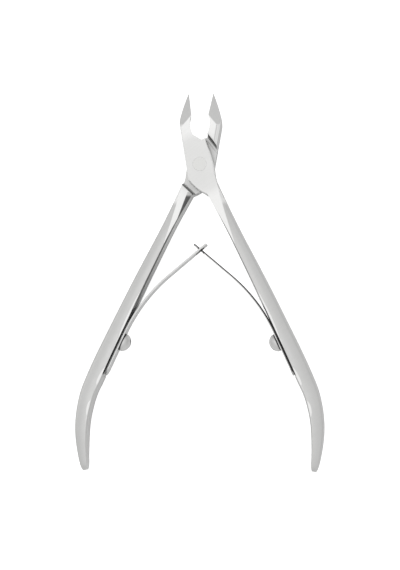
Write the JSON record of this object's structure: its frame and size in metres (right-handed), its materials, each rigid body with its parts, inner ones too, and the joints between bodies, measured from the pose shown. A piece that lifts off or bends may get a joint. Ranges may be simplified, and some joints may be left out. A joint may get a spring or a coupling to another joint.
{
  "type": "cuticle nipper",
  "caption": "Lap-joint cuticle nipper with pointed half jaws, bowed handles and two interlocking leaf springs, held open by the springs.",
  "frame": {"origin": "on the pivot axis, in the plane of the back face that the tool rests on", "axes": "+Z along the pivot axis, away from the resting face; +Y towards the jaw tips; +X to the right of the front face"},
  "size_m": [0.0746, 0.1137, 0.007],
  "materials": {
    "satin_steel": "fine satin-ground stainless steel with finely ground flats and facets",
    "rivet_steel": "ground flush with the joint face",
    "spring_steel": "rolled spring steel strip, lightly polished",
    "screw_steel": "turned and lightly polished domed head"
  },
  "bodies": {
    "front": {"front_half": "satin_steel", "pivot_rivet": "rivet_steel", "right_spring_screw": "screw_steel"},
    "rear": {"rear_half": "satin_steel", "left_spring_screw": "screw_steel"},
    "slotted_leaf": {"slotted_spring": "spring_steel"},
    "tongued_leaf": {"tongued_spring": "spring_steel"}
  },
  "joints": [
    {"name": "pivot", "type": "hinge", "parent": "front", "child": "rear", "pos_m": [0, 0, 0.0035], "axis": [0, 0, 1], "range_deg": [0, 19.2], "stiffness_Nm_per_rad": 1, "springref_deg": -8.59},
    {"name": "slotted_leaf_bend", "type": "hinge", "parent": "rear", "child": "slotted_leaf", "pos_m": [-0.01923, -0.04349, 0.0035], "axis": [0, 0, 1], "range_deg": [0, 9.6], "deforming": ["slotted_spring"]},
    {"name": "tongued_leaf_bend", "type": "hinge", "parent": "front", "child": "tongued_leaf", "pos_m": [0.01923, -0.04349, 0.0035], "axis": [0, 0, 1], "range_deg": [-9.6, 0], "deforming": ["tongued_spring"]}
  ],
  "couplings": [
    {"joint": "slotted_leaf_bend", "follows": "pivot", "ratio": 0.5},
    {"joint": "tongued_leaf_bend", "follows": "pivot", "ratio": -0.5}
  ]
}
